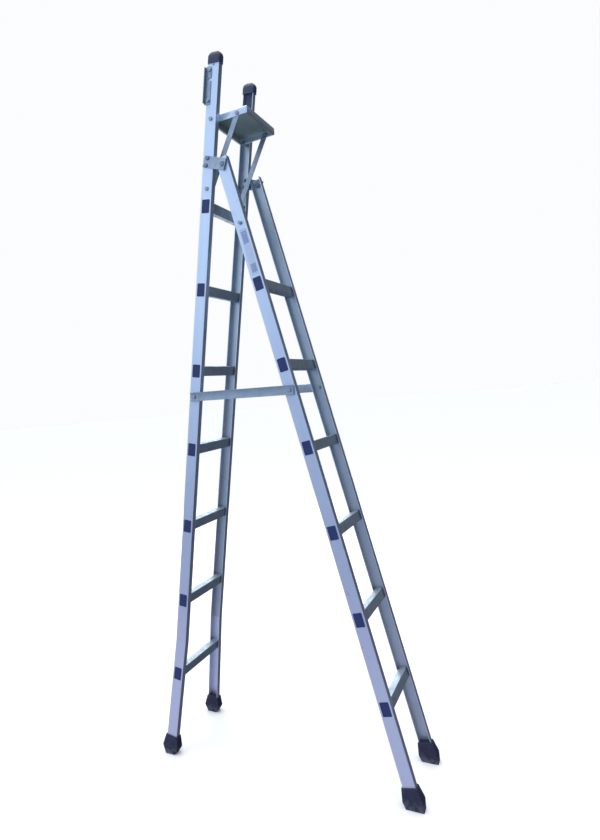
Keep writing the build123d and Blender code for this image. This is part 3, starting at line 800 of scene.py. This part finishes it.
@dataclass
class Boots:
    """The faceted rubber boots, widest halfway up and cut flat on the floor."""

    rail: Rail
    paint: Paint
    section: str
    foot: float
    middle: float
    flare: float = 0.0
    sole: tuple[float, float] = (0.031, 0.032)
    wide: float = 0.0438
    deep: float = 0.0698
    tall: float = 0.074
    belly: float = 0.030
    rim: tuple[float, float] = (0.034, 0.053)
    spare: float = 0.012
    corner: float = 0.005
    belly_round: float = 0.0014
    rim_round: float = 0.0016
    tread: tuple[float, float] = (0.004, 0.002)

    def shape(self) -> Shape:
        """Return one boot in its stile's frame, z = 0 where the stile's middle line meets the floor."""
        made = Shape()
        whole = (self.wide, self.deep, self.tall + self.spare)
        corners = made.block(whole, (0.0, 0.0, (self.tall - self.spare) / 2))
        made.soften(made.edges_along(2, corners), self.corner)
        made.cut(self.belly)
        for height, (wide, deep) in ((self.tall, self.rim), (-self.spare, self.sole)):
            share = (wide / self.wide, deep / self.deep, 1.0)
            made.scale(made.ring(height), share)
        belly = [e for e in made.bm.edges if all(abs(v.co.z - self.belly) < TOUCHING for v in e.verts)]
        made.soften(belly, self.belly_round)
        made.soften(outline(made.faces_towards(2, 1.0)), self.rim_round, 3)
        return made

    def build(self) -> None:
        """Make both boots of the section."""
        for side in Side:
            made = Shape()
            lean = Matrix.Rotation(-self.flare, 4, "Y")
            place = Matrix.Translation((self.middle, 0.0, self.foot)) @ lean
            made.join(self.shape(), self.rail.matrix() @ side.turned() @ place)
            made.cut(0.0, drop=True)
            sole = made.faces_towards(2, -1.0)
            made.sunk([f for f in sole if f.calc_center_median().z < TOUCHING], *self.tread)
            name = side.node(f"{self.section}_boot_rubber")
            made.piece(name, f"{self.section}_section", "boot_rubber", self.paint["boot_rubber"],
                       side.node(f"{self.section}_boot"))


@dataclass
class RungPlugs:
    """The moulded plugs that close the rung ends, one row on each stile."""

    rail: Rail
    paint: Paint
    section: str
    levels: list[float]
    face: float
    flared: tuple[float, float] = (0.0, 0.0)
    thick: float = 0.0014
    deep: float = 0.031
    tall: float = 0.049
    corner: float = 0.003
    edge: float = 0.0005
    panel: tuple[float, float] = (0.0020, 0.0005)

    def shape(self) -> Shape:
        """Return one plug with a rounded rim and a sunken middle."""
        made = Shape()
        corners = made.block((self.thick, self.deep, self.tall), (self.thick / 2, 0.0, 0.0))
        made.soften(made.edges_along(0, corners), self.corner, 3)
        made.soften(outline(made.faces_towards(0, 1.0)), self.edge)
        made.sunk(made.faces_towards(0, 1.0), *self.panel)
        return made

    def build(self) -> None:
        """Make both rows."""
        shift, slope = self.flared
        for side in Side:
            row = Shape()
            for level in self.levels:
                low = abs(level) < TOUCHING and shift > 0
                place = Matrix.Translation((self.face + (shift if low else 0.0), 0.0, level))
                turn = Matrix.Rotation(-slope if low else 0.0, 4, "Y")
                row.join(self.shape(), self.rail.matrix() @ side.turned() @ place @ turn)
            name = side.node(f"{self.section}_plugs")
            row.piece(name, f"{self.section}_section", "plug_plastic", self.paint["plug_navy"],
                      side.node(f"{self.section}_rung_plugs"))


@dataclass
class HingePlates:
    """The folded hinge plates bolted outside the base webs."""

    rail: Rail
    paint: Paint
    pivot: Vector
    face: float = 0.160
    behind: float = 0.079
    ahead: float = 0.014
    tall: float = 0.042
    thick: float = 0.003
    lip: float = 0.009
    fold: float = 0.004
    tilt: float = math.radians(12.0)

    def shape(self) -> Shape:
        """Return the right plate, about its pivot."""
        made = Shape()
        low = -self.tall / 2
        line = [(0.0, -self.behind, low), (0.0, self.ahead, low), (self.lip, self.ahead, low)]
        made.strip(line, (0.0, 0.0, self.tall), self.thick, self.fold)
        return made

    def build(self) -> None:
        """Make both plates."""
        for side in Side:
            made = Shape()
            place = Matrix.Translation((self.face, *self.pivot.yz))
            tilted = Matrix.Rotation(-self.tilt, 4, "X")
            made.join(self.shape(), self.rail.matrix() @ side.turned() @ place @ tilted)
            made.piece(side.node("hinge_cheek"), "base_section", "plate_steel", self.paint["zinc_plate"],
                       side.node("hinge_plate"))


@dataclass
class Platform:
    """The folded standing tray with its grip ribs, level at rest."""

    paint: Paint
    centre: Vector
    wide: float = 0.256
    deep: float = 0.150
    tall: float = 0.026
    sheet: float = 0.002
    hem: float = 0.010
    fold: float = 0.003
    ribs: int = 7
    rib_pitch: float = 0.018
    rib_margin: float = 0.018
    rib_wide: float = 0.005
    rib_tall: float = 0.0024
    rib_up: float = 0.0004
    rib_corner: float = 0.0022
    rib_edge: float = 0.0009

    def tray(self) -> Shape:
        """Return the tray, top face at z = 0: skirts turned down, hems turned in at front and back."""
        made = Shape()
        corners = made.block((self.wide, self.deep, self.tall), (0.0, 0.0, -self.tall / 2))
        bmesh.ops.delete(made.bm, geom=made.faces_towards(2, -1.0), context="FACES_ONLY")
        low = [v for v in corners if v.co.z < -self.tall / 2]
        hems = [e for e in made.edges_along(0, low) if all(v in low for v in e.verts)]
        for edge in hems:
            drawn = bmesh.ops.extrude_edge_only(made.bm, edges=[edge])["geom"]
            inwards = -math.copysign(self.hem, edge.verts[0].co.y)
            bmesh.ops.translate(made.bm, vec=(0.0, inwards, 0.0), verts=corners_in(drawn))
        folds = [e for e in made.bm.edges if len(e.link_faces) == 2]
        made.soften(folds, self.fold, 3)
        bmesh.ops.recalc_face_normals(made.bm, faces=made.bm.faces[:])
        bmesh.ops.solidify(made.bm, geom=made.bm.faces[:], thickness=self.sheet)
        return made

    def rib(self) -> Shape:
        """Return one pressed grip rib."""
        made = Shape()
        size = (self.wide - 2 * self.rib_margin, self.rib_wide, self.rib_tall)
        corners = made.block(size, (0.0, 0.0, self.rib_up))
        made.soften(made.edges_along(2, corners), self.rib_corner, 3)
        made.soften(outline(made.faces_towards(2, 1.0)), self.rib_edge)
        return made

    def build(self) -> None:
        """Make the tray and its ribs."""
        tray = self.tray()
        tray.move(Matrix.Translation(self.centre))
        tray.piece("standing_tray", "base_section", "tray_aluminium", self.paint["tray_sheet"], "platform_tray")
        row = Shape()
        for i in range(self.ribs):
            y = (i - (self.ribs - 1) / 2) * self.rib_pitch
            row.join(self.rib(), Matrix.Translation(self.centre + Vector((0.0, y, 0.0))))
        row.piece("tread_grips", "base_section", "tray_aluminium", self.paint["tray_sheet"],
                  "platform_tread_ribs")


@dataclass
class StayBars:
    """The shallow channel bars that hold the sections apart, flanges turned out."""

    paint: Paint
    near: Vector
    far: Vector
    face: float = 0.1644
    tall: float = 0.034
    flange: float = 0.009
    sheet: float = 0.0024
    beyond: float = 0.015
    fold: float = 0.003

    def shape(self) -> Shape:
        """Return the right bar, y along it from its pivot."""
        made = Shape()
        half = self.tall / 2
        line = [(self.flange, 0.0, half), (0.0, 0.0, half), (0.0, 0.0, -half), (self.flange, 0.0, -half)]
        length = (self.far - self.near).length + 2 * self.beyond
        made.strip(line, (0.0, length, 0.0), self.sheet, self.fold)
        made.move(Matrix.Translation((0.0, -self.beyond, 0.0)))
        return made

    def build(self) -> None:
        """Make both bars."""
        run = self.far - self.near
        turn = Matrix.Rotation(math.atan2(run.z, run.y), 4, "X")
        for side in Side:
            made = Shape()
            place = Matrix.Translation((side.value * self.face, *self.near.yz))
            made.join(self.shape(), place @ turn @ side.turned())
            made.piece(side.node("spreader"), f"{side.name.lower()}_stay", "plate_steel",
                       self.paint["zinc_plate"], side.node("stay_bar"))


@dataclass
class Labels:
    """The plain film labels near the top of the prop stiles."""

    rail: Rail
    low: float
    high: float
    face: float = 0.1596
    wide: float = 0.027
    thick: float = 0.0003
    offset: float = 0.002
    corner: float = 0.003

    def build(self) -> None:
        """Make both labels and their film."""
        middle, reach = (self.low + self.high) / 2, (self.high - self.low) / 2
        film = PrintedFilm(*self.rail.key(), middle, reach).material("label_film")
        for side in Side:
            made = Shape()
            centre = (self.face + self.thick / 2, self.offset, middle)
            corners = made.block((self.thick, self.wide, 2 * reach), centre)
            made.soften(made.edges_along(0, corners), self.corner, 4)
            made.move(self.rail.matrix() @ side.turned())
            made.piece(side.node("blank_film"), "prop_section", "label_film", film, side.node("prop_label"))


@dataclass(frozen=True)
class Softbox:
    """One square soft light."""

    name: str
    at: Point
    aim: Point
    size: float
    power: float
    tint: Point

    def hang(self) -> None:
        """Hang the light where it belongs, facing what it is aimed at."""
        lamp = bpy.data.lights.new(self.name, "AREA")
        lamp.shape = "SQUARE"
        lamp.size = self.size
        lamp.energy = self.power
        lamp.color = self.tint
        box = bpy.data.objects.new(self.name, lamp)
        box.location = self.at
        box.rotation_euler = (Vector(self.aim) - Vector(self.at)).to_track_quat("-Z", "Y").to_euler()
        bpy.context.scene.collection.objects.link(box)


MIDDLE = (0.0, 0.0, 1.3)
SOFTBOXES = (
    Softbox("key", (5.6, -4.6, 4.3), MIDDLE, 5.0, 66.0, (0.84, 0.92, 1.0)),
    Softbox("low_fill", (2.6, 1.8, 0.30), (0.1, 0.0, 0.1), 1.0, 5.0, (0.92, 0.86, 1.0)),
    Softbox("overhead", (-0.6, -0.4, 5.2), MIDDLE, 3.2, 48.0, (0.93, 0.97, 1.0)),
    Softbox("back_fill", (-4.4, -3.0, 2.5), MIDDLE, 3.4, 95.0, (0.90, 0.95, 1.0)),
)


@dataclass
class Studio:
    """The pale floor, the soft light and the camera."""

    eye: Point = (2.2282, 0.9452, 1.4268)
    yaw: float = 31.405
    pitch: float = -1.837
    roll: float = -4.989
    lens: float = 26.54
    sensor: float = 36.0
    shift: float = 0.1452
    floor: float = 60.0
    sky: float = 2.5
    sky_spread: float = 75.0
    backdrop: Colour = (0.97, 0.975, 0.985, 1.0)
    room_way: Point = (0.76, -0.62, 0.13)
    room_strength: float = 0.70
    room: tuple[tuple[float, Colour], ...] = (
        (0.18, (0.108, 0.121, 0.155, 1.0)),
        (0.86, (0.62, 0.74, 1.0, 1.0)),
    )

    def lay_floor(self) -> None:
        """Make the round floor."""
        made = bmesh.new()
        bmesh.ops.create_circle(made, cap_ends=True, segments=96, radius=self.floor)
        data = bpy.data.meshes.new("studio_floor")
        made.to_mesh(data)
        made.free()
        data.materials.append(PaleFloor().material("pale_floor"))
        ground = bpy.data.objects.new("studio_floor", data)
        bpy.context.scene.collection.objects.link(ground)
        ground.visible_glossy = False
        ground.visible_diffuse = False

    def hang_sky(self) -> None:
        """Hang a very wide light straight overhead, which keeps the whole floor evenly pale."""
        lamp = bpy.data.lights.new("top_light", "SUN")
        lamp.energy = self.sky
        lamp.angle = math.radians(self.sky_spread)
        bpy.context.scene.collection.objects.link(bpy.data.objects.new("top_light", lamp))

    def light_room(self) -> None:
        """Make the white surround that the camera sees, and the one-sided room that lights the metal."""
        world = bpy.data.worlds.new("studio")
        world.use_nodes = True
        tree = world.node_tree
        tree.nodes.clear()
        new, link = tree.nodes.new, tree.links.new
        way = new("ShaderNodeTexCoord")
        side = new("ShaderNodeVectorMath")
        side.operation = "DOT_PRODUCT"
        side.inputs[1].default_value = self.room_way
        link(way.outputs["Generated"], side.inputs[0])
        ramp = new("ShaderNodeValToRGB")
        ramp.color_ramp.interpolation = "EASE"
        for stop, (position, colour) in zip(ramp.color_ramp.elements, self.room):
            stop.position = position
            stop.color = colour
        half = new("ShaderNodeMath")
        half.operation = "MULTIPLY_ADD"
        half.inputs[1].default_value = 0.5
        half.inputs[2].default_value = 0.5
        link(side.outputs["Value"], half.inputs[0])
        link(half.outputs[0], ramp.inputs[0])
        seen, lit, pick = new("ShaderNodeBackground"), new("ShaderNodeBackground"), new("ShaderNodeMixShader")
        seen.inputs["Color"].default_value = self.backdrop
        lit.inputs["Strength"].default_value = self.room_strength
        link(ramp.outputs["Color"], lit.inputs["Color"])
        link(new("ShaderNodeLightPath").outputs["Is Camera Ray"], pick.inputs[0])
        link(lit.outputs[0], pick.inputs[1])
        link(seen.outputs[0], pick.inputs[2])
        link(pick.outputs[0], new("ShaderNodeOutputWorld").inputs[0])
        bpy.context.scene.world = world

    def set_camera(self) -> None:
        """Stand the camera and make it the scene's."""
        yaw, pitch, roll = (math.radians(a) for a in (self.yaw, self.pitch, self.roll))
        ahead = Vector((-math.cos(yaw) * math.cos(pitch), -math.sin(yaw) * math.cos(pitch), math.sin(pitch)))
        right = Vector((-math.sin(yaw), math.cos(yaw), 0.0))
        up = right.cross(ahead)
        across = right * math.cos(roll) + up * math.sin(roll)
        above = up * math.cos(roll) - right * math.sin(roll)
        data = bpy.data.cameras.new("camera")
        data.lens = self.lens
        data.sensor_width = self.sensor
        data.shift_x = self.shift
        camera = bpy.data.objects.new("camera", data)
        turn = Matrix((across, above, -ahead)).transposed().to_4x4()
        camera.matrix_world = Matrix.Translation(self.eye) @ turn
        bpy.context.scene.collection.objects.link(camera)
        bpy.context.scene.camera = camera

    def build(self) -> None:
        """Set up the whole studio."""
        self.lay_floor()
        self.light_room()
        for softbox in SOFTBOXES:
            softbox.hang()
        self.hang_sky()
        bpy.context.scene.view_settings.view_transform = "Standard"
        self.set_camera()
        LOG.info("studio ready")


@dataclass(frozen=True)
class Layout:
    """Where the parts sit on the sections: metres, or rung pitches where it says so."""

    base_rungs: int = 7
    prop_rungs: int = 6
    base_face: float = 0.160
    prop_face: float = 0.1596
    half_flange: float = 0.0125
    first_rung_up: float = 0.332
    flare: float = math.radians(4.27)
    flare_pitches: float = 0.434
    top_pitches: float = 7.76
    cap_rise: float = 0.008
    label_pitches: tuple[float, float] = (-1.40, -0.83)
    prop_sole: tuple[float, float] = (0.038, 0.054)


def joint_point(name: str) -> Vector:
    """Return the point that a joint turns about."""
    return Vector(next(j["pos_m"] for j in frame["joints"] if j["name"] == name))


def rung_levels(rail: Rail, section: str, count: int) -> list[float]:
    """Return the heights of a section's rungs in its own frame, lowest number first."""
    return [rail.local(sum(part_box(f"{section}_rung_{i}"), Vector()) / 2).z for i in range(1, count + 1)]


def build_mouldings(base: Rail, prop: Rail, paint: Paint, layout: Layout) -> float:
    """Make the rung plugs, the caps and the boots.

    Args:
        base: the base section's frame.
        prop: the prop section's frame.
        paint: the materials.
        layout: where the parts sit.

    Returns:
        The rung pitch.
    """
    base_levels = rung_levels(base, "base", layout.base_rungs)
    prop_levels = rung_levels(prop, "prop", layout.prop_rungs)
    pitch = base_levels[1] - base_levels[0]
    flare_top = layout.flare_pitches * pitch
    spread = flare_top * math.tan(layout.flare)
    RungPlugs(base, paint, "base", base_levels, layout.base_face, (spread, layout.flare)).build()
    RungPlugs(prop, paint, "prop", prop_levels, layout.prop_face).build()
    TopCaps(base, paint, layout.top_pitches * pitch + layout.cap_rise).build()
    foot_out = (flare_top + layout.first_rung_up) * math.tan(layout.flare)
    base_middle = layout.base_face + foot_out - layout.half_flange * math.cos(layout.flare)
    Boots(base, paint, "base", -layout.first_rung_up, base_middle, layout.flare).build()
    prop_foot = -prop.origin.z / math.cos(prop.turn)
    prop_middle = layout.prop_face - layout.half_flange
    Boots(prop, paint, "prop", prop_foot, prop_middle, sole=layout.prop_sole).build()
    return pitch


def main() -> None:
    """Build the ladder's looks in order and report each piece."""
    logging.basicConfig(level=logging.INFO, format="%(message)s")
    layout = Layout()
    hinge = joint_point("section_swing")
    base = Rail.through("base_rung_1", "base_rung_7")
    prop = Rail.through("prop_rung_6", "prop_rung_1", hinge)
    paint = Paint(base, prop)
    Metalwork(paint).dress()
    pitch = build_mouldings(base, prop, paint, layout)
    HingePlates(base, paint, base.local(hinge)).build()
    low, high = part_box("platform_tray")
    Platform(paint, Vector(((low.x + high.x) / 2, (low.y + high.y) / 2, high.z))).build()
    stay = joint_point("right_stay_fold")
    low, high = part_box("prop_stay_studs")
    StayBars(paint, Vector((0.0, *stay.yz)), Vector((0.0, *((low + high) / 2).yz))).build()
    Labels(prop, *(share * pitch for share in layout.label_pitches)).build()
    Studio().build()


if __name__ == "__main__":
    main()
